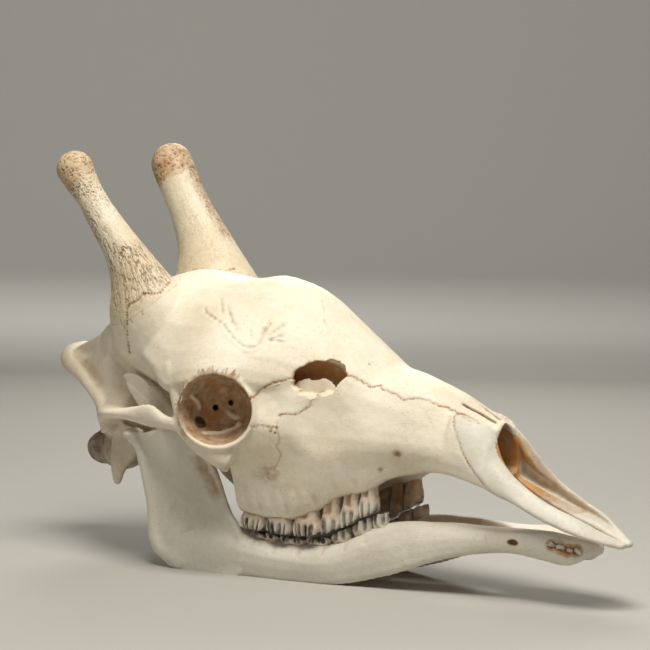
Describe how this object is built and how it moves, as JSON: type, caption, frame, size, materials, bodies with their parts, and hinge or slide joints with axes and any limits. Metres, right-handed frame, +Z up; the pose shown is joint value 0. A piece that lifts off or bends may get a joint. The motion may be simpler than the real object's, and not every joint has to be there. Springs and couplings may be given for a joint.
{
  "type": "giraffe skull",
  "caption": "Life-size giraffe skull with its lower jaw closed, horns, eye sockets, cheek teeth and long snout, resting on the jaw.",
  "frame": {"origin": "centre of the bounding box in plan, at the floor under the jaw", "axes": "+X towards the tip of the snout, +Y towards the animal's left side, +Z up"},
  "size_m": [0.643, 0.247, 0.4053],
  "materials": {
    "bone": "matte",
    "horn_bone": "matte",
    "grey_bone": "matte"
  },
  "bodies": {
    "root": {"braincase": "bone", "frontal": "bone", "ossicone_right": "horn_bone", "ossicone_left": "horn_bone", "zygomatic_right": "bone", "zygomatic_left": "bone", "lacrimal_right": "bone", "lacrimal_left": "bone", "nasal_right": "bone", "nasal_left": "bone", "maxilla_right": "bone", "maxilla_left": "bone", "premaxilla_right": "grey_bone", "premaxilla_left": "grey_bone", "mandible_right": "grey_bone", "mandible_left": "grey_bone"}
  },
  "joints": []
}
